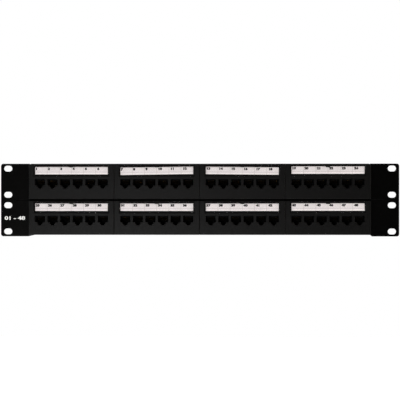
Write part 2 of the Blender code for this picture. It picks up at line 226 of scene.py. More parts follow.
# Numbers printed on the left ear
EAR_PRINT = "01 - 48"
EAR_PRINT_X = -224.4
EAR_PRINT_Z = -22.1
EAR_PRINT_SIZE = 5.9
EAR_PRINT_WEIGHT = 0.22
EAR_PRINT_WIDTH = 25.0

# Studio, in metres and degrees
TARGET = Vector((0.0, -0.0035, 0.0))
CAMERA_DISTANCE = 1.5
CAMERA_AZIMUTH = 1.0
CAMERA_SHIFT = 0.0012
LENS = 111.55
FLOOR_HEIGHT = -0.3
FLOOR_HALF_SIZE = 1.2
# The floor's glow in front of the panel and behind it
FLOOR_GLOW = (0.3, 0.95)

ALONG_X = Matrix(((0, 0, 1, 0), (1, 0, 0, 0), (0, 1, 0, 0), (0, 0, 0, 1)))
ALONG_Y = Matrix.Rotation(math.radians(90), 4, "X")
ALONG_Z = Matrix.Identity(4)


# Measures taken from the frame ------------------------------------------------------------------


def module_origin(number):
    """The middle of a module's width, on the rack plane, at the top of its rack unit."""
    low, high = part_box(f"jack_housing_{number}")
    return Vector(((low.x + high.x) / 2, 0, high.z - BEZEL_TOP * MM))


def local_box(node, number):
    """A node's corners in its module's own frame, in millimetres."""
    origin = module_origin(number)
    low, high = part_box(f"{node}_{number}")
    return (low - origin) / MM, (high - origin) / MM


def row_of(number):
    return "upper" if number <= MODULES_PER_ROW else "lower"


# Geometry helpers -------------------------------------------------------------------------------


def rectangle(left, right, bottom, top):
    return [(left, bottom), (right, bottom), (right, top), (left, top)]


def arc(centre, radius, start, end, steps):
    """Points on an arc, from one angle to another in degrees."""
    angles = [math.radians(start + (end - start) * step / steps) for step in range(steps + 1)]
    return [(centre[0] + radius * math.cos(a), centre[1] + radius * math.sin(a)) for a in angles]


def circle(centre, radius, steps):
    return arc(centre, radius, 0, 360 - 360 / steps, steps - 1)


def rounded_rectangle(left, right, bottom, top, radius, steps=5):
    corners = (
        ((right - radius, bottom + radius), 270),
        ((right - radius, top - radius), 0),
        ((left + radius, top - radius), 90),
        ((left + radius, bottom + radius), 180),
    )
    return [point for centre, start in corners for point in arc(centre, radius, start, start + 90, steps)]


def obround(centre_x, centre_z, length, width, steps=16):
    radius = width / 2
    offset = length / 2 - radius
    right = arc((centre_x + offset, centre_z), radius, -90, 90, steps)
    left = arc((centre_x - offset, centre_z), radius, 90, 270, steps)
    return right + left


def port_centres():
    return [(index - (PORTS - 1) / 2) * PORT_PITCH for index in range(PORTS)]


def new_object(name, mesh):
    obj = bpy.data.objects.new(name, mesh)
    bpy.context.scene.collection.objects.link(obj)
    return obj


def object_from_bmesh(name, bm):
    mesh = bpy.data.meshes.new(name)
    bm.to_mesh(mesh)
    bm.free()
    return new_object(name, mesh)


def evaluated_mesh(obj):
    graph = bpy.context.evaluated_depsgraph_get()
    return bpy.data.meshes.new_from_object(obj.evaluated_get(graph), depsgraph=graph)


def new_box(name, low, high, front_round=0.0, all_round=0.0):
    """A box between two corners, with its front edges or all of them rounded."""
    bm = bmesh.new()
    bmesh.ops.create_cube(bm, size=1.0)
    for vert in bm.verts:
        vert.co = Vector(low[i] + (vert.co[i] + 0.5) * (high[i] - low[i]) for i in range(3)) * MM
    edges = list(bm.edges)
    if front_round:
        front = low[1] * MM
        edges = [edge for edge in edges if all(abs(vert.co.y - front) < 1e-7 for vert in edge.verts)]
    if front_round or all_round:
        width = (front_round or all_round) * MM
        bmesh.ops.bevel(bm, geom=edges, offset=width, segments=3, profile=0.5, affect="EDGES")
    return object_from_bmesh(name, bm)


def new_prism(name, loops, axis, low, high, edge=0.0):
    """Flat outlines, with holes, extruded from low to high along an axis, with rounded edges if asked."""
    curve = bpy.data.curves.new(name, "CURVE")
    curve.dimensions = "2D"
    curve.fill_mode = "BOTH"
    curve.extrude = ((high - low) / 2 - edge) * MM
    curve.bevel_depth = edge * MM
    curve.bevel_resolution = 1
    curve.offset = -edge * MM
    for loop in loops:
        spline = curve.splines.new("POLY")
        spline.points.add(len(loop) - 1)
        for point, (across, up) in zip(spline.points, loop):
            point.co = (across * MM, up * MM, 0.0, 1.0)
        spline.use_cyclic_u = True
    drawn = new_object(name, curve)
    mesh = evaluated_mesh(drawn)
    # The axis may point down its coordinate, so the sum of its parts, 1 or -1, sets the sign.
    direction = axis.to_3x3() @ Vector((0, 0, 1))
    shift = Matrix.Translation(direction * sum(direction) * (low + high) / 2 * MM)
    mesh.transform(shift @ axis)
    bpy.data.objects.remove(drawn)
    bm = bmesh.new()
    bm.from_mesh(mesh)
    bmesh.ops.remove_doubles(bm, verts=bm.verts, dist=1e-7)
    bm.to_mesh(mesh)
    bm.free()
    return new_object(name, mesh)


def flared(name, outline, front, depth, flare):
    """A cutter whose outline widens from the given depth behind a front face to twice that in front of it."""
    bm = bmesh.new()
    rings = []
    for y, grow in ((front + depth, 0.0), (front - depth, 2 * flare)):
        points = offset_outline(outline, grow)
        rings.append([bm.verts.new(Vector((x, y, z)) * MM) for x, z in points])
    bm.faces.new(rings[0])
    bm.faces.new(list(reversed(rings[1])))
    for index in range(len(outline)):
        following = (index + 1) % len(outline)
        bm.faces.new((rings[0][following], rings[0][index], rings[1][index], rings[1][following]))
    bmesh.ops.recalc_face_normals(bm, faces=bm.faces)
    return object_from_bmesh(name, bm)


def offset_outline(outline, distance):
    """An outline drawn anticlockwise, grown outwards by a distance with mitred corners."""
    grown = []
    for index, point in enumerate(outline):
        before = Vector(point) - Vector(outline[index - 1])
        after = Vector(outline[(index + 1) % len(outline)]) - Vector(point)
        normals = [Vector((side.y, -side.x)).normalized() for side in (before, after)]
        mitre = (normals[0] + normals[1]) / (1 + normals[0].dot(normals[1]))
        grown.append(tuple(Vector(point) + mitre * distance))
    return grown


def new_cylinder(name, radius, front, back, centre, segments=32, end_radius=None):
    """A cylinder along Y around a point of the module's front view, or a cone that ends in another radius."""
    bm = bmesh.new()
    middle = Vector((centre[0], (front + back) / 2, centre[1])) * MM
    bmesh.ops.create_cone(
        bm,
        cap_ends=True,
        segments=segments,
        radius1=(radius if end_radius is None else end_radius) * MM,
        radius2=radius * MM,
        depth=(back - front) * MM,
        matrix=Matrix.Translation(middle) @ ALONG_Y,
    )
    return object_from_bmesh(name, bm)


def combine(base, other, operation):
    """Applies a Boolean with the other object, which is used up."""
    modifier = base.modifiers.new("combine", "BOOLEAN")
    modifier.operation = operation
    modifier.object = other
    modifier.solver = "EXACT"
    mesh = evaluated_mesh(base)
    base.modifiers.clear()
    base.data = mesh
    bpy.data.objects.remove(other)


def join(name, objects):
    """One mesh object that holds the shapes of several, which are used up."""
    bm = bmesh.new()
    for obj in objects:
        start = len(bm.verts)
        bm.from_mesh(obj.data)
        bm.verts.ensure_lookup_table()
        matrix = obj.matrix_basis
        for vert in bm.verts[start:]:
            vert.co = matrix @ vert.co
        bpy.data.objects.remove(obj)
    return object_from_bmesh(name, bm)


def smooth(obj, angle=32.0):
    """Smooth shading across shallow edges, with the normals held by the large faces."""
    obj.data.shade_smooth()
    obj.data.set_sharp_from_angle(angle=math.radians(angle))
    normals = obj.modifiers.new("normals", "WEIGHTED_NORMAL")
    normals.keep_sharp = True
    obj.data = evaluated_mesh(obj)
    obj.modifiers.clear()


def text_mesh(name, words, size, weight):
    """Numbers as a flat mesh in the XY plane, centred on the origin and made bolder by the weight."""
    font = bpy.data.curves.new(name, "FONT")
    font.body = words
    font.size = size * MM
    font.bevel_depth = weight * MM
    font.bevel_resolution = 0
    font.align_x = "CENTER"
    font.align_y = "CENTER"
    font.resolution_u = 4
    obj = new_object(name, font)
    mesh = evaluated_mesh(obj)
    mesh.transform(Matrix.Diagonal((1, 1, FINEST / 2 / weight, 1)))
    bpy.data.objects.remove(obj)
    return new_object(name, mesh)


def use(master, name, origin, material, body="panel", replaced=(), turn=None):
    """Places a copy of a finished shape, gives it a finish and lets it ride on a body."""
    piece = new_object(name, master.data)
    if not piece.data.materials:
        piece.data.materials.append(material)
    piece.matrix_world = Matrix.Translation(origin) @ (turn or Matrix.Identity(4))
    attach(piece, body)
    if replaced:
        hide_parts(*replaced)


def drop(*masters):
    for master in masters:
        bpy.data.objects.remove(master)


# Materials --------------------------------------------------------------------------------------


def add(tree, kind, values=None, **settings):
    """A shader node with its settings and its inputs, each of which is a value or another node's output."""
    node = tree.nodes.new(kind)
    for key, value in settings.items():
        setattr(node, key, value)
    for key, value in (values or {}).items():
        if isinstance(value, bpy.types.NodeSocket):
            tree.links.new(value, node.inputs[key])
        else:
            node.inputs[key].default_value = value
    return node


def new_material(name, roughness, metallic=0.0, specular=0.5):
    material = bpy.data.materials.new(name)
    material.use_nodes = True
    tree = material.node_tree
    shader = tree.nodes["Principled BSDF"]
    shader.inputs["Roughness"].default_value = roughness
    shader.inputs["Metallic"].default_value = metallic
    shader.inputs["Specular IOR Level"].default_value = specular
    return material, tree, shader


def place_coordinates(tree):
    """Object coordinates shifted by the piece's own place, so that copies of a shape differ."""
    coordinates = add(tree, "ShaderNodeTexCoord")
    info = add(tree, "ShaderNodeObjectInfo")
    total = add(tree, "ShaderNodeVectorMath", {0: coordinates.outputs["Object"], 1: info.outputs["Location"]})
    return total.outputs["Vector"]


def noise(tree, vector, size, detail=2.0, roughness=0.5):
    """Noise whose features are about size millimetres across, as a value from 0 to 1."""
    node = add(
        tree,
        "ShaderNodeTexNoise",
        {"Vector": vector, "Scale": 1 / (size * MM), "Detail": detail, "Roughness": roughness},
    )
    return node.outputs["Fac"]


def spread(tree, value, low, high, from_low=0.3, from_high=0.7):
    """A value stretched onto another range."""
    node = add(
        tree,
        "ShaderNodeMapRange",
        {"Value": value, "From Min": from_low, "From Max": from_high, "To Min": low, "To Max": high},
    )
    return node.outputs["Result"]


def blend_colours(tree, factor, first, second):
    node = add(tree, "ShaderNodeMix", data_type="RGBA")
    sockets = {"Factor_Float": factor, "A_Color": first, "B_Color": second}
    for socket in node.inputs:
        value = sockets.get(socket.identifier)
        if isinstance(value, bpy.types.NodeSocket):
            tree.links.new(value, socket)
        elif isinstance(value, tuple):
            socket.default_value = (*value, 1.0)
        elif value is not None:
            socket.default_value = value
    return next(socket for socket in node.outputs if socket.identifier == "Result_Color")


def arithmetic(tree, operation, first, second=0.0):
    return add(tree, "ShaderNodeMath", {0: first, 1: second}, operation=operation).outputs["Value"]


def bump(tree, shader, height, strength, distance):
    node = add(
        tree,
        "ShaderNodeBump",
        {"Height": height, "Strength": strength, "Distance": distance * MM},
    )
    tree.links.new(node.outputs["Normal"], shader.inputs["Normal"])


def edge_mask(tree, radius, vector):
    """Near 1 along worn convex edges, broken up by noise."""
    rounded = add(tree, "ShaderNodeBevel", {"Radius": radius * MM}, samples=4)
    flat = add(tree, "ShaderNodeNewGeometry")
    agreement = add(
        tree,
        "ShaderNodeVectorMath",
        {0: rounded.outputs["Normal"], 1: flat.outputs["Normal"]},
        operation="DOT_PRODUCT",
    )
    edge = spread(tree, agreement.outputs["Value"], 1.0, 0.0, 0.9, 1.0)
    patches = spread(tree, noise(tree, vector, 6.0, 4.0), 0.0, 1.0, 0.45, 0.65)
    return arithmetic(tree, "MULTIPLY", edge, patches)


def steel_material():
    """Satin black powder coat over steel."""
    material, tree, shader = new_material("powder_coat", 0.34, specular=0.035)
    vector = place_coordinates(tree)
    cloud = noise(tree, vector, 60.0, 3.0)
    worn = edge_mask(tree, 0.35, vector)
    coat = blend_colours(tree, cloud, (0.0004, 0.0004, 0.0004), (0.0009, 0.0008, 0.0007))
    colour = blend_colours(tree, worn, coat, (0.007, 0.007, 0.0072))
    tree.links.new(colour, shader.inputs["Base Color"])
    rough = spread(tree, noise(tree, vector, 3.0, 3.0), 0.29, 0.36)
    tree.links.new(rough, shader.inputs["Roughness"])
    peel = noise(tree, vector, 0.9, 2.0)
    bump(tree, shader, peel, 0.25, 0.04)
    return material


def housing_material():
    """Black moulded plastic with a spark-eroded grain, matt inside its ports and its recess."""
    material, tree, shader = new_material("moulded_black", 0.38, specular=0.125)
    vector = place_coordinates(tree)
    cloud = noise(tree, vector, 35.0, 3.0)
    worn = edge_mask(tree, 0.4, vector)
    base = blend_colours(tree, cloud, (0.0007, 0.0007, 0.0007), (0.0014, 0.0013, 0.0012))
    colour = blend_colours(tree, worn, base, (0.011, 0.011, 0.0105))
    tree.links.new(colour, shader.inputs["Base Color"])
    rough = spread(tree, noise(tree, vector, 2.0, 3.0), 0.34, 0.42)
    local = add(tree, "ShaderNodeTexCoord").outputs["Object"]
    parts = add(tree, "ShaderNodeSeparateXYZ", {0: local})
    inside = spread(tree, parts.outputs["Y"], 0.0, 1.0, MATT_FROM * MM, MATT_FULL * MM)
    middle, half_height = sum(RECESS_SPAN) / 2, (RECESS_SPAN[1] - RECESS_SPAN[0]) / 2
    beside = band(tree, parts.outputs["X"], 0.0, (RECESS_HALF_WIDTH + MATT_RIM) * MM, 0.1 * MM)
    above = band(tree, parts.outputs["Z"], middle * MM, (half_height + MATT_RIM) * MM, 0.1 * MM)
    rim = arithmetic(tree, "MULTIPLY", beside, above)
    matt = arithmetic(tree, "MAXIMUM", inside, rim)
    rough = arithmetic(tree, "MAXIMUM", rough, arithmetic(tree, "MULTIPLY", matt, MATT_ROUGHNESS))
    tree.links.new(rough, shader.inputs["Roughness"])
    grain = noise(tree, vector, 0.35, 2.0, 0.6)
    bump(tree, shader, grain, 0.3, 0.02)
    return material


def insert_material():
    material, tree, shader = new_material("insert_plastic", 0.6, specular=0.1)
    vector = place_coordinates(tree)
    colour = blend_colours(tree, noise(tree, vector, 8.0, 2.0), (0.001, 0.001, 0.001), (0.002, 0.002, 0.002))
    tree.links.new(colour, shader.inputs["Base Color"])
    tree.links.new(spread(tree, noise(tree, vector, 1.5), 0.55, 0.7), shader.inputs["Roughness"])
    bump(tree, shader, noise(tree, vector, 0.3), 0.2, 0.02)
    return material


def metal_material(name, dark, light, rough_low, rough_high, grain):
    """A plated metal with cloudy colour and fine grain."""
    material, tree, shader = new_material(name, rough_low, metallic=1.0)
    vector = place_coordinates(tree)
    colour = blend_colours(tree, noise(tree, vector, 4 * grain, 3.0), dark, light)
    tree.links.new(colour, shader.inputs["Base Color"])
    rough = spread(tree, noise(tree, vector, 2 * grain, 3.0), rough_low, rough_high)
    tree.links.new(rough, shader.inputs["Roughness"])
    bump(tree, shader, noise(tree, vector, grain), 0.25, 0.01)
    return material


def board_material():
    """Green solder mask over copper tracks that run up and down with a few crossings."""
    material, tree, shader = new_material("solder_mask", 0.28, specular=0.5)
    vector = place_coordinates(tree)
    local = add(tree, "ShaderNodeTexCoord").outputs["Object"]
    parts = add(tree, "ShaderNodeSeparateXYZ", {0: local})
    bent = parts.outputs["X"]
    for top, bottom, jog in TRACK_JOGS:
        step = spread(tree, parts.outputs["Z"], 0.0, jog * MM, top * MM, bottom * MM)
        bent = arithmetic(tree, "ADD", bent, step)
    turns = arithmetic(tree, "MULTIPLY", bent, 2 * math.pi / (TRACK_PITCH * MM))
    wave = arithmetic(tree, "SINE", turns)
    tracks = spread(tree, wave, 0.0, 1.0, 0.25, 0.45)
    broken = spread(tree, noise(tree, vector, 11.0, 0.0), 0.0, 1.0, 0.47, 0.49)
    copper = arithmetic(tree, "MULTIPLY", tracks, broken)
    mask = blend_colours(tree, noise(tree, vector, 20.0, 2.0), (0.006, 0.075, 0.03), (0.008, 0.1, 0.04))
    colour = blend_colours(tree, copper, mask, (0.02, 0.2, 0.07))
    tree.links.new(colour, shader.inputs["Base Color"])
    tree.links.new(spread(tree, noise(tree, vector, 1.0, 2.0), 0.22, 0.36), shader.inputs["Roughness"])
    bump(tree, shader, copper, 0.4, 0.04)
    return material


def block_material():
    material, tree, shader = new_material("block_plastic", 0.5, specular=0.4)
    vector = place_coordinates(tree)
    worn = edge_mask(tree, 0.3, vector)
    base = blend_colours(tree, noise(tree, vector, 18.0, 3.0), (0.012, 0.012, 0.013), (0.02, 0.02, 0.021))
    colour = blend_colours(tree, worn, base, (0.06, 0.06, 0.06))
    tree.links.new(colour, shader.inputs["Base Color"])
    tree.links.new(spread(tree, noise(tree, vector, 1.6, 3.0), 0.44, 0.6), shader.inputs["Roughness"])
    bump(tree, shader, noise(tree, vector, 0.4), 0.25, 0.02)
    return material


def paint_material(name, colour, specular=0.35):
    """Printed or painted ink that lets a little of its ground through."""
    material, tree, shader = new_material(name, 0.55, specular=specular)
    vector = place_coordinates(tree)
    thin = tuple(channel * 0.8 + 0.006 for channel in colour)
    shade = blend_colours(tree, noise(tree, vector, 0.6, 3.0), colour, thin)
    tree.links.new(shade, shader.inputs["Base Color"])
    tree.links.new(spread(tree, noise(tree, vector, 1.2), 0.45, 0.65), shader.inputs["Roughness"])
    bump(tree, shader, noise(tree, vector, 0.25), 0.15, 0.01)
    return material


def band(tree, value, centre, half_width, soft):
    """1 within half_width of a centre, falling to 0 over a soft edge. Lengths are in metres."""
    away = arithmetic(tree, "ABSOLUTE", arithmetic(tree, "SUBTRACT", value, centre))
    return spread(tree, away, 1.0, 0.0, half_width, half_width + soft)


def paper_material():
    """White card with fibres and faint printed cell lines, with painted light at its foot and painted shade
    at its head, where the recess's top lip shades it.
    """
    material, tree, shader = new_material("label_card", 0.75, specular=0.25)
    coordinates = add(tree, "ShaderNodeTexCoord").outputs["Object"]
    vector = place_coordinates(tree)
    parts = add(tree, "ShaderNodeSeparateXYZ", {0: coordinates})
    across, up = parts.outputs["X"], parts.outputs["Z"]
    cell = 2 * STRIP_HALF_WIDTH / PORTS * MM
    from_left = arithmetic(tree, "ADD", across, PORTS / 2 * cell)
    place = arithmetic(tree, "FRACT", arithmetic(tree, "DIVIDE", from_left, cell))
    edge = arithmetic(tree, "ABSOLUTE", arithmetic(tree, "SUBTRACT", place, 0.5))
    divider = spread(tree, edge, 0.0, 1.0, 0.484, 0.492)
    rule = band(tree, up, -1.6 * MM, 0.1 * MM, 0.08 * MM)
    lines = arithmetic(tree, "MAXIMUM", divider, rule)
    tone = blend_colours(tree, noise(tree, vector, 9.0, 4.0), (0.75, 0.738, 0.748), (0.82, 0.808, 0.818))
    # Painted light: the card's foot is made whiter. Painted shade: its head is made darker, standing in for
    # the shade under the recess's top lip.
    foot = spread(tree, up, 1.0, 0.0, -4.0 * MM, -2.4 * MM)
    head = spread(tree, up, 0.0, 1.0, 3.0 * MM, 4.8 * MM)
    tone = blend_colours(tree, foot, tone, (0.96, 0.95, 0.94))
    tone = blend_colours(tree, head, tone, (0.6, 0.575, 0.58))
    lined = blend_colours(tree, arithmetic(tree, "MULTIPLY", lines, 0.6), tone, (0.32, 0.30, 0.31))
    fibre = noise(tree, vector, 0.22, 4.0, 0.7)
    colour = blend_colours(tree, spread(tree, fibre, 0.0, 0.12), lined, (0.5, 0.49, 0.48))
    tree.links.new(colour, shader.inputs["Base Color"])
    tree.links.new(spread(tree, fibre, 0.68, 0.85), shader.inputs["Roughness"])
    bump(tree, shader, fibre, 0.3, 0.02)
    return material


def clear_material():
    """Clear moulded plastic: it passes most light, and reflects more at a shallow angle."""
    material, tree, shader = new_material("clear_cover", 0.06, metallic=1.0)
    vector = add(tree, "ShaderNodeTexCoord").outputs["Object"]
    shader.inputs["Base Color"].default_value = (0.95, 0.97, 0.98, 1.0)
    tree.links.new(spread(tree, noise(tree, vector, 14.0, 3.0), 0.05, 0.09), shader.inputs["Roughness"])
    waves = noise(tree, vector, 9.0, 1.0)
    ripple = add(tree, "ShaderNodeBump", {"Height": waves, "Strength": 0.15, "Distance": 0.1 * MM})
    normal = ripple.outputs["Normal"]
    tree.links.new(normal, shader.inputs["Normal"])
    tint = blend_colours(tree, noise(tree, vector, 25.0, 2.0), (0.965, 0.955, 0.955), (0.975, 0.965, 0.965))
    through = add(tree, "ShaderNodeBsdfTransparent", {"Color": tint})
    facing = add(tree, "ShaderNodeLayerWeight", {"Blend": 0.5, "Normal": normal}).outputs["Facing"]
    grazing = arithmetic(tree, "POWER", facing, 5.0)
    sheen = spread(tree, grazing, 0.04, 0.3, 0.0, 1.0)
    mixed = add(
        tree, "ShaderNodeMixShader", {0: sheen, 1: through.outputs["BSDF"], 2: shader.outputs["BSDF"]}
    )
    tree.links.new(mixed.outputs["Shader"], tree.nodes["Material Output"].inputs["Surface"])
    return material


# Steel frame ------------------------------------------------------------------------------------


def plate_outline(half_width, half_height):
    """The flat sheet with its ears, bend reliefs and the two ramps of its bottom edge."""
    inner = (half_width - CORNER_RADIUS, half_height - CORNER_RADIUS)
    bottom_bend = CENTRE_BOTTOM + BEND_RADIUS
    top_bend = half_height - BEND_RADIUS
    steps = 10
    left, right = BOTTOM_FLANGE_X
    outline = arc((-inner[0], -inner[1]), CORNER_RADIUS, 180, 270, steps)
    outline += [
        (LEFT_RAMP_START, -half_height),
        (left - RELIEF_WIDTH, CENTRE_BOTTOM),
        (left - RELIEF_WIDTH, bottom_bend + RELIEF_DEPTH),
        (left, bottom_bend + RELIEF_DEPTH),
        (left, bottom_bend),
        (right, bottom_bend),
        (right, bottom_bend + RELIEF_DEPTH),
        (right + RELIEF_WIDTH, bottom_bend + RELIEF_DEPTH),
        (right + RELIEF_WIDTH, CENTRE_BOTTOM),
        (RIGHT_RAMP_END, -half_height),
    ]
    outline += arc((inner[0], -inner[1]), CORNER_RADIUS, 270, 360, steps)
    outline += arc(inner, CORNER_RADIUS, 0, 90, steps)
    left, right = TOP_FLANGE_X
    outline += [
        (right + RELIEF_WIDTH, half_height),
        (right + RELIEF_WIDTH, top_bend - RELIEF_DEPTH),
        (right, top_bend - RELIEF_DEPTH),
        (right, top_bend),
        (left, top_bend),
        (left, top_bend - RELIEF_DEPTH),
        (left - RELIEF_WIDTH, top_bend - RELIEF_DEPTH),
        (left - RELIEF_WIDTH, half_height),
    ]
    outline += arc((-inner[0], inner[1]), CORNER_RADIUS, 90, 180, steps)
    return outline


def flange_profile(edge, sense, depth):
    """The section of a folded flange with its bend: edge is its outer face, and sense is +1 at the top."""
    bend = edge - sense * BEND_RADIUS
    centre = (BEND_RADIUS - SHEET, bend)
    lap = bend - sense * RELIEF_DEPTH / 2
    outer = arc(centre, BEND_RADIUS, 180, 180 - sense * 90, 10)
    inner = arc(centre, BEND_RADIUS - SHEET, 180 - sense * 90, 180, 10)
    tip = [(depth, edge), (depth, edge - sense * SHEET)]
    return [(-SHEET, lap)] + outer + tip + inner + [(0, lap)]


def frame_holes():
    """The rack slots and the windows that the modules' bodies pass through."""
    holes = [
        obround(side * SLOT_X, height, SLOT_LENGTH, SLOT_WIDTH) for side in (-1, 1) for height in SLOT_HEIGHTS
    ]
    for number in MODULES:
        origin = module_origin(number) / MM
        bottom, top = (origin.z + height for height in WINDOW_SPAN)
        holes.append(rectangle(origin.x - WINDOW_HALF_WIDTH, origin.x + WINDOW_HALF_WIDTH, bottom, top))
    return holes


def build_frame(material):
    low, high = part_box("steel_frame")
    outline = plate_outline(high.x / MM, high.z / MM)
    body = new_prism("frame_shape", [outline], ALONG_Y, -SHEET, 0)
    for edge, sense, span in ((high.z / MM, 1, TOP_FLANGE_X), (CENTRE_BOTTOM, -1, BOTTOM_FLANGE_X)):
        profile = flange_profile(edge, sense, high.y / MM)
        combine(body, new_prism("flange", [profile], ALONG_X, *span), "UNION")
    combine(body, new_prism("holes", frame_holes(), ALONG_Y, -2 * SHEET, SHEET), "DIFFERENCE")
    groove = [
        (-SHEET - GROOVE_DEPTH, -2 * GROOVE_HALF_WIDTH),
        (-SHEET + GROOVE_DEPTH, 0),
        (-SHEET - GROOVE_DEPTH, 2 * GROOVE_HALF_WIDTH),
    ]
    cutter = new_prism("groove", [groove], ALONG_X, -GROOVE_HALF_LENGTH, GROOVE_HALF_LENGTH)
    combine(body, cutter, "DIFFERENCE")
    bm = bmesh.new()
    bm.from_mesh(body.data)
    bmesh.ops.dissolve_limit(bm, angle_limit=math.radians(0.5), verts=bm.verts, edges=bm.edges)
    bm.to_mesh(body.data)
    bm.free()
    bevel = body.modifiers.new("edges", "BEVEL")
    bevel.width = STEEL_EDGE * MM
    bevel.segments = 1
    bevel.limit_method = "ANGLE"
    bevel.angle_limit = math.radians(40)
    body.data = evaluated_mesh(body)
    body.modifiers.clear()
    smooth(body, 30)
    use(body, "folded_frame", Vector(), material, replaced=["steel_frame"])
    drop(body)


# Jack housings and contacts ---------------------------------------------------------------------


def port_outline(centre):
    """The mouth of a port, anticlockwise: the latch notch, the key step and the plug's width above them."""
    return [
        (centre - LATCH_HALF_WIDTH, LATCH_FLOOR),
        (centre + LATCH_HALF_WIDTH, LATCH_FLOOR),
        (centre + LATCH_HALF_WIDTH, KEY_FLOOR),
        (centre + KEY_HALF_WIDTH, KEY_FLOOR),
        (centre + KEY_HALF_WIDTH, PORT_FLOOR),
        (centre + PORT_HALF_WIDTH, PORT_FLOOR),
        (centre + PORT_HALF_WIDTH, PORT_TOP),
        (centre - PORT_HALF_WIDTH, PORT_TOP),
        (centre - PORT_HALF_WIDTH, PORT_FLOOR),
        (centre - KEY_HALF_WIDTH, PORT_FLOOR),
        (centre - KEY_HALF_WIDTH, KEY_FLOOR),
        (centre - LATCH_HALF_WIDTH, KEY_FLOOR),
    ]


def hook_profile(edge, sense):
    """The section of a snap hook on the body's top (sense +1) or bottom (-1)."""
    root = edge - sense * HOOK_SINK
    crest = edge + sense * HOOK_RISE
    return [(HOOK_FACE, root), (HOOK_FACE, crest), (HOOK_CREST_END, crest), (HOOK_RAMP_END, root)]


def build_housing(low, high):
    """The bezel, the body with its ports, the snap hooks and the label recess, in one moulding."""
    front, back = low.y, high.y
    housing = new_box("housing", low, (high.x, BEZEL_BACK, high.z), front_round=BEZEL_ROUND)
    bottom, top = BODY_SPAN
    body_low = (-BODY_HALF_WIDTH, BEZEL_BACK - PAST, bottom)
    combine(housing, new_box("body", body_low, (BODY_HALF_WIDTH, back, top)), "UNION")
    for edge, sense in ((top, 1), (bottom, -1)):
        for centre in HOOK_CENTRES:
            span = (centre - HOOK_WIDTH / 2, centre + HOOK_WIDTH / 2)
            combine(housing, new_prism("hook", [hook_profile(edge, sense)], ALONG_X, *span), "UNION")
    ports = [port_outline(centre) for centre in port_centres()]
    combine(housing, new_prism("ports", ports, ALONG_Y, front - PAST, PORT_BACK), "DIFFERENCE")
    for outline in ports:
        combine(housing, flared("mouth", outline, front, MOUTH_DEPTH, MOUTH_FLARE), "DIFFERENCE")
    bottom, top = CHANNEL_SPAN
    channel_low = (-CHANNEL_HALF_WIDTH, CHANNEL_FRONT, bottom)
    combine(housing, new_box("channel", channel_low, (CHANNEL_HALF_WIDTH, back + PAST, top)), "DIFFERENCE")
    window = rectangle(-RECESS_HALF_WIDTH, RECESS_HALF_WIDTH, *RECESS_SPAN)
    combine(housing, new_prism("recess", [window], ALONG_Y, front - PAST, RECESS_FLOOR), "DIFFERENCE")
    combine(housing, flared("rim", window, front, MOUTH_FLARE / 2, MOUTH_FLARE / 2), "DIFFERENCE")
    tab_low = (-TAB_HALF_WIDTH, front + BEZEL_ROUND / 2, TAB_BOTTOM)
    tab_high = (TAB_HALF_WIDTH, TAB_BACK, (BEZEL_TOP + RECESS_SPAN[1]) / 2)
    combine(housing, new_box("tab", tab_low, tab_high, all_round=TAB_ROUND), "UNION")
    hole = new_cylinder("hole", SCREW_HOLE_RADIUS, SCREW_HOLE_END, back + PAST, (0, SCREW_HEIGHT))
    combine(housing, hole, "DIFFERENCE")
    smooth(housing)
    return housing


def build_wires():
    """The spring wires of six ports: each follows the underside of its tongue and turns back at the heel."""
    nose, heel = Vector(TONGUE_NOSE), Vector(TONGUE_HEEL)
    along = (heel - nose).normalized()
    below = Vector((along.y, -along.x))
    clear = WIRE_RADIUS + WIRE_CLEARANCE
    path = [nose + along * WIRE_INSET + below * clear]
    path += [nose.lerp(heel, share) + below * (clear + bow) for share, bow in WIRE_BOWS]
    path += [heel + below * clear, Vector((heel.x + WIRE_TAIL, heel.y - clear))]
    curve = bpy.data.curves.new("wires", "CURVE")
    curve.dimensions = "3D"
    curve.bevel_depth = WIRE_RADIUS * MM
    curve.bevel_resolution = 1
    curve.use_fill_caps = True
    for centre in port_centres():
        for wire in range(WIRES_PER_PORT):
            x = centre + (wire - (WIRES_PER_PORT - 1) / 2) * WIRE_PITCH
            spline = curve.splines.new("POLY")
            spline.points.add(len(path) - 1)
            for point, place in zip(spline.points, path):
                point.co = (x * MM, place.x * MM, place.y * MM, 1.0)
    drawn = new_object("wires", curve)
    wires = new_object("wires", evaluated_mesh(drawn))
    bpy.data.objects.remove(drawn)
    wires.data.shade_smooth()
    return wires


# Boards, blocks and screws ----------------------------------------------------------------------


def build_board(low, high):
    outline = rounded_rectangle(low.x, high.x, low.z, high.z, BOARD_ROUND)
    hole = circle((0, SCREW_HEIGHT), SCREW_HOLE_RADIUS, 24)
    return new_prism("board", [outline, hole], ALONG_Y, low.y, high.y, edge=BOARD_EDGE)


def build_solder(board_back):
    """A soldered pin behind each jack contact, in two staggered rows."""
    foot, top, tip = (board_back + rise for rise in (-SINK, SOLDER_HEIGHT, PIN_HEIGHT))
    joints = []
    for centre in port_centres():
        for pin in range(WIRES_PER_PORT):
            x = centre + (pin - (WIRES_PER_PORT - 1) / 2) * PIN_PITCH
            place = (x, SOLDER_ROWS[pin % 2])
            joints.append(new_cylinder("joint", SOLDER_FOOT_RADIUS, foot, top, place, 10, SOLDER_TOP_RADIUS))
            joints.append(new_cylinder("pin", PIN_RADIUS, top - SINK, tip, place, 8))
    solder = join("solder", joints)
    smooth(solder, 50)
    return solder


def build_board_digits(board_back):
    """The ports' numbers on the back of the board, read from behind."""
    digits = []
    for index, centre in enumerate(port_centres()):
        digit = text_mesh("digit", str(index + 1), BOARD_DIGIT_SIZE, BOARD_DIGIT_WEIGHT)
        turn = Matrix.Rotation(math.radians(180), 4, "Z") @ ALONG_Y
        place = Vector((centre, board_back + FINEST, BOARD_DIGITS_HEIGHT)) * MM
        digit.matrix_basis = Matrix.Translation(place) @ turn
        digits.append(digit)
    return join("digits", digits)


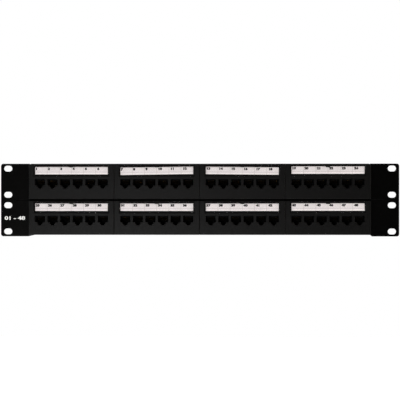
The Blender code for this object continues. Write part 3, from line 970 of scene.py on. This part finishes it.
def comb_outline(front, back):
    """A rail with a slot for each wire, seen along Z. The teeth between pairs are taller and pointed."""
    outline = [(-RAIL_HALF_WIDTH, front), (RAIL_HALF_WIDTH, front)]
    half_tooth = (WIRE_SLOT_PITCH - WIRE_SLOT_WIDTH) / 2
    for index in range(WIRE_SLOTS, -1, -1):
        centre = (index - WIRE_SLOTS / 2) * WIRE_SLOT_PITCH
        tip = back if index % 2 == 0 else back - SHORT_TOOTH_DROP
        right = min(centre + half_tooth, RAIL_HALF_WIDTH)
        left = max(centre - half_tooth, -RAIL_HALF_WIDTH)
        outline += [
            (right, WIRE_SLOT_FLOOR),
            (right, TOOTH_SHOULDER),
            (min(centre + TOOTH_TIP_HALF_WIDTH, RAIL_HALF_WIDTH), tip),
            (max(centre - TOOTH_TIP_HALF_WIDTH, -RAIL_HALF_WIDTH), tip),
            (left, TOOTH_SHOULDER),
            (left, WIRE_SLOT_FLOOR),
        ]
    return outline


def build_block(low, high):
    """A ladder-shaped base with two rails of punch-down slots."""
    base_back = low.y + BLOCK_BASE
    outline = rounded_rectangle(low.x, high.x, low.z, high.z, BLOCK_ROUND)
    openings = [rounded_rectangle(*span, *LADDER_SPAN, LADDER_ROUND) for span in LADDER_OPENINGS]
    shapes = [new_prism("base", [outline, *openings], ALONG_Y, low.y, base_back, edge=BLOCK_EDGE)]
    for span in RAIL_SPANS:
        profile = comb_outline(base_back - BLOCK_BASE / 2, high.y - FINEST)
        shapes.append(new_prism("rail", [profile], ALONG_Z, *span, edge=RAIL_EDGE))
    return join("block", shapes)


def wire_slot_centres():
    return [(index - (WIRE_SLOTS - 1) / 2) * WIRE_SLOT_PITCH for index in range(WIRE_SLOTS)]


def build_clips():
    """The two tines of the metal clip that show in each slot."""
    tines = []
    for span in RAIL_SPANS:
        middle = sum(span) / 2
        for centre in wire_slot_centres():
            for side in (-1, 1):
                near = centre + side * CLIP_HALF_GAP
                far = centre + side * (WIRE_SLOT_WIDTH / 2 + CLIP_OVERLAP)
                low = (min(near, far), WIRE_SLOT_FLOOR - CLIP_SINK, middle - CLIP_HALF_WIDTH)
                high = (max(near, far), TOOTH_SHOULDER - CLIP_BELOW_SHOULDER, middle + CLIP_HALF_WIDTH)
                tines.append(new_box("tine", low, high, all_round=CLIP_EDGE))
    return join("clips", tines)


def build_marks(colour_index):
    """A pair colour on the outer faces of both rails, below the slots."""
    marks = []
    for (bottom, top), sense in zip(RAIL_SPANS, (1, -1)):
        face = top if sense > 0 else bottom
        for pair in range(colour_index, WIRE_SLOTS // 2, len(PAIR_COLOURS)):
            centre = (pair - (WIRE_SLOTS / 2 - 1) / 2) * 2 * WIRE_SLOT_PITCH
            across = (centre - MARK_HALF_WIDTH, centre + MARK_HALF_WIDTH)
            outline = rounded_rectangle(*across, *MARK_SPAN, MARK_ROUND, 3)
            faces = sorted((face - sense * SINK, face + sense * FINEST))
            marks.append(new_prism("mark", [outline], ALONG_Z, *faces))
    return join("marks", marks)


def build_screw(low, high):
    """A pan head with a cross recess, on a plain shank."""
    radius = (high.x - low.x) / 2
    centre = (0, SCREW_HEIGHT)
    head_front, crown_front = high.y - SCREW_HEAD_HEIGHT, high.y - SCREW_CROWN
    head = new_cylinder("screw", radius, head_front, crown_front, centre)
    crown = new_cylinder("crown", radius * CROWN_FOOT, crown_front, high.y, centre, 32, radius)
    combine(head, crown, "UNION")
    shank = new_cylinder("shank", SHANK_RADIUS, low.y, head_front + SHANK_SINK, centre, 20)
    combine(head, shank, "UNION")
    length, width = CROSS_HALF_LENGTH, CROSS_HALF_WIDTH
    for half_width, half_height in ((length, width), (width, length)):
        recess_low = (-half_width, high.y - CROSS_DEPTH, SCREW_HEIGHT - half_height)
        recess = new_box("recess", recess_low, (half_width, high.y + PAST, SCREW_HEIGHT + half_height))
        combine(head, recess, "DIFFERENCE")
    smooth(head, 30)
    return head


# Labels -----------------------------------------------------------------------------------------


def strip_seat(number):
    """Where a paper strip's middle is and how far its right end is raised, in radians."""
    mesh = frame["nodes"][f"label_strip_{number}"].data
    corners = {tuple(round(value, 6) for value in vert.co) for vert in mesh.vertices}
    vertices = [Vector(corner) for corner in corners]
    middle = sum(vertices, Vector()) / len(vertices)
    ends = [[v for v in vertices if side * (v.x - middle.x) > 0] for side in (-1, 1)]
    left, right = (sum(end, Vector()) / len(end) for end in ends)
    return middle, math.atan2(right.z - left.z, right.x - left.x)


def strip_bend(across, up):
    """How far a strip's surface stands behind its middle plane, at a place from -1 to 1 each way."""
    ripple = STRIP_RIPPLE * math.sin(STRIP_WAVES[0] * across + STRIP_WAVES[1] * up)
    return ripple + STRIP_BOW * (across * across - 1)


def build_strip(thickness):
    """A card strip with a slight bow, on a grid so that it bends."""
    bm = bmesh.new()
    columns, rows = 60, 6
    bmesh.ops.create_grid(bm, x_segments=columns, y_segments=rows, size=0.5)
    for vert in bm.verts:
        across, up = 2 * vert.co.x, 2 * vert.co.y
        bend = strip_bend(across, up)
        vert.co = Vector((across * STRIP_HALF_WIDTH, bend, up * STRIP_HALF_HEIGHT)) * MM
    bmesh.ops.recalc_face_normals(bm, faces=bm.faces)
    strip = object_from_bmesh("strip", bm)
    solid = strip.modifiers.new("card", "SOLIDIFY")
    solid.thickness = thickness * MM
    solid.offset = 0
    strip.data = evaluated_mesh(strip)
    strip.modifiers.clear()
    smooth(strip, 30)
    return strip


def build_strip_digits(first, front):
    """A strip's six port numbers, in the strip's own frame."""
    digits = []
    for index in range(PORTS):
        number = first + index
        digit = text_mesh("digit", str(number), DIGIT_SIZE, DIGIT_WEIGHT)
        shift = ONE_DIGIT_SHIFT if number < 10 else TWO_DIGITS_SHIFT
        x = (index - (PORTS - 1) / 2) * DIGIT_PITCH + shift
        z = STRIP_HALF_HEIGHT - DIGIT_FROM_TOP
        bend = strip_bend(x / STRIP_HALF_WIDTH, z / STRIP_HALF_HEIGHT)
        place = Matrix.Translation(Vector((x, front + bend - PRINT_LIFT, z)) * MM)
        digit.matrix_basis = place @ ALONG_Y @ Matrix.Diagonal((DIGIT_STRETCH, 1, 1, 1))
        digits.append(digit)
    return join("digits", digits)


def build_cover():
    """The clear window, drawn about its hinge line, with a notch for the tab."""
    outline = [
        (-COVER_HALF_WIDTH, -COVER_HEEL),
        (COVER_HALF_WIDTH, -COVER_HEEL),
        (COVER_HALF_WIDTH, COVER_RISE),
        (NOTCH_HALF_WIDTH, COVER_RISE),
        (NOTCH_HALF_WIDTH, NOTCH_FLOOR),
        (-NOTCH_HALF_WIDTH, NOTCH_FLOOR),
        (-NOTCH_HALF_WIDTH, COVER_RISE),
        (-COVER_HALF_WIDTH, COVER_RISE),
    ]
    half = COVER_SHEET / 2
    return new_prism("cover", [outline], ALONG_Y, -half, half, edge=COVER_EDGE)


def cover_hinge(number):
    joint = next(j for j in frame["joints"] if j["child"] == f"cover_{number}")
    return Vector(joint["pos_m"])


# The whole panel --------------------------------------------------------------------------------


def build_modules():
    black = housing_material()
    insert = insert_material()
    # The wires' gold is dimmed to about half a bright gold: partly their own colour, partly painted shade for
    # the depth of the ports.
    gold = metal_material("gold_wire", (0.32, 0.2, 0.065), (0.42, 0.275, 0.1), 0.3, 0.45, 0.5)
    tin = metal_material("solder", (0.45, 0.45, 0.46), (0.62, 0.62, 0.63), 0.25, 0.45, 0.4)
    zinc = metal_material("zinc", (0.42, 0.43, 0.45), (0.6, 0.6, 0.6), 0.26, 0.42, 0.5)
    mask = board_material()
    block_plastic = block_material()
    card = paper_material()
    ink = paint_material("label_ink", (0.004, 0.004, 0.004), specular=0.15)
    white_ink = paint_material("board_print", (0.7, 0.72, 0.7))
    clear = clear_material()
    paints = [paint_material(f"mark_{name}", colour) for name, colour in PAIR_COLOURS.items()]

    housings = {row_of(n): build_housing(*local_box("jack_housing", n)) for n in (1, 5)}
    wires = build_wires()
    board_low, board_high = local_box("circuit_board", 1)
    board = build_board(board_low, board_high)
    solder = build_solder(board_high.y)
    board_digits = build_board_digits(board_high.y)
    block_low, block_high = local_box("idc_block", 1)
    block = build_block(block_low, block_high)
    clips = build_clips()
    marks = [build_marks(index) for index in range(len(PAIR_COLOURS))]
    screw = build_screw(*local_box("module_screw", 1))
    strip_low, strip_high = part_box("label_strip_1")
    thickness = (strip_high.y - strip_low.y) / MM
    strip = build_strip(thickness)
    cover = build_cover()

    for number in MODULES:
        origin = module_origin(number)
        use(housings[row_of(number)], f"bezel_{number}", origin, black,
            replaced=[f"jack_housing_{number}"])
        use(wires, f"contact_wires_{number}", origin, gold)
        use(board, f"board_{number}", origin, mask, replaced=[f"circuit_board_{number}"])
        use(solder, f"solder_joints_{number}", origin, tin)
        use(board_digits, f"board_print_{number}", origin, white_ink)
        use(block, f"punch_block_{number}", origin, block_plastic,
            replaced=[f"idc_block_{number}"])
        use(clips, f"block_clips_{number}", origin, tin)
        for mark, paint, colour in zip(marks, paints, PAIR_COLOURS):
            use(mark, f"pair_marks_{colour}_{number}", origin, paint)
        use(screw, f"pan_screw_{number}", origin, zinc, replaced=[f"module_screw_{number}"])
        middle, slope = strip_seat(number)
        turn = Matrix.Rotation(-slope, 4, "Y")
        use(strip, f"card_strip_{number}", middle, card, turn=turn,
            replaced=[f"label_strip_{number}"])
        digits = build_strip_digits((number - 1) * PORTS + 1, -thickness / 2)
        use(digits, f"card_numbers_{number}", middle, ink, turn=turn)
        drop(digits)
        use(cover, f"clear_cover_{number}", cover_hinge(number), clear, body=f"cover_{number}",
            replaced=[f"label_cover_{number}"])
        carrier = frame["nodes"][f"contact_insert_{number}"]
        carrier.data.materials.clear()
        carrier.data.materials.append(insert)
    drop(*housings.values(), wires, board, solder, board_digits, block, clips, *marks, screw, strip, cover)


def print_ear():
    """The port range, printed in white on the left ear."""
    paint = paint_material("ear_print", (0.82, 0.82, 0.8))
    print_shape = text_mesh("ear", EAR_PRINT, EAR_PRINT_SIZE, EAR_PRINT_WEIGHT)
    wide = max(vert.co.x for vert in print_shape.data.vertices) * 2 / MM
    stretch = Matrix.Diagonal((EAR_PRINT_WIDTH / wide, 1, 1, 1))
    print_shape.data.transform(ALONG_Y @ stretch)
    place = Vector((EAR_PRINT_X, -SHEET - FINEST, EAR_PRINT_Z)) * MM
    use(print_shape, "ear_numbers", place, paint)
    drop(print_shape)


# Studio -----------------------------------------------------------------------------------------


def aim(obj, target):
    obj.rotation_euler = (target - obj.location).to_track_quat("-Z", "Y").to_euler()


def build_camera():
    camera = bpy.data.objects.new("camera", bpy.data.cameras.new("camera"))
    bpy.context.scene.collection.objects.link(camera)
    turn = math.radians(CAMERA_AZIMUTH)
    camera.location = TARGET + Vector((math.sin(turn), -math.cos(turn), 0)) * CAMERA_DISTANCE
    aim(camera, TARGET)
    camera.data.lens = LENS
    camera.data.shift_x = CAMERA_SHIFT
    camera.data.clip_start = 0.05
    bpy.context.scene.camera = camera


def area_light(name, place, target, size, power, colour=(1, 1, 1)):
    light = bpy.data.lights.new(name, "AREA")
    light.shape = "RECTANGLE"
    light.size, light.size_y = size
    light.energy = power
    light.color = colour
    obj = bpy.data.objects.new(name, light)
    bpy.context.scene.collection.objects.link(obj)
    obj.location = place
    aim(obj, Vector(target))
    obj.visible_camera = False


def build_studio():
    centre = (0, 0, 0)
    area_light("key_left", (-2.1, -1.0, 0.8), centre, (1.6, 1.6), 50, (0.985, 0.99, 1))
    area_light("key_right", (2.1, -1.0, 0.8), centre, (1.6, 1.6), 43, (1, 0.91, 0.83))
    area_light("gloss", (-0.24, -1.5, -0.36), centre, (0.4, 0.25), 8.4)
    area_light("top", (0.2, 0.4, 1.8), centre, (1.6, 1.6), 14)
    area_light("back_left", (-1.4, 1.8, 0.9), centre, (1.4, 1.4), 60)
    area_light("back_right", (1.5, 1.7, 0.5), centre, (1.2, 1.2), 40)
    bm = bmesh.new()
    bmesh.ops.create_grid(bm, x_segments=1, y_segments=1, size=FLOOR_HALF_SIZE)
    floor = object_from_bmesh("floor", bm)
    floor.location.z = FLOOR_HEIGHT
    material, tree, shader = new_material("pale_floor", 0.7)
    vector = add(tree, "ShaderNodeTexCoord").outputs["Object"]
    tone = blend_colours(tree, noise(tree, vector, 400.0, 3.0), (0.80, 0.80, 0.79), (0.84, 0.84, 0.83))
    tree.links.new(tone, shader.inputs["Base Color"])
    depth = add(tree, "ShaderNodeSeparateXYZ", {0: vector}).outputs["Y"]
    shader.inputs["Emission Color"].default_value = (1, 1, 1, 1)
    tree.links.new(spread(tree, depth, *FLOOR_GLOW, -0.6, 0.3), shader.inputs["Emission Strength"])
    floor.data.materials.append(material)


def build_world():
    """White behind the panel for the camera, and a dim even light for everything else."""
    world = bpy.data.worlds.new("studio")
    bpy.context.scene.world = world
    world.use_nodes = True
    tree = world.node_tree
    tree.nodes.clear()
    path = add(tree, "ShaderNodeLightPath")
    white = add(tree, "ShaderNodeBackground", {"Color": (1, 1, 1, 1), "Strength": 1.0})
    dim = add(tree, "ShaderNodeBackground", {"Color": (0.9, 0.95, 1, 1), "Strength": 0.03})
    mixed = add(
        tree,
        "ShaderNodeMixShader",
        {0: path.outputs["Is Camera Ray"], 1: dim.outputs["Background"], 2: white.outputs["Background"]},
    )
    output = add(tree, "ShaderNodeOutputWorld")
    tree.links.new(mixed.outputs["Shader"], output.inputs["Surface"])


bpy.context.scene.view_settings.view_transform = "Standard"
build_frame(steel_material())
build_modules()
print_ear()
build_camera()
build_studio()
build_world()
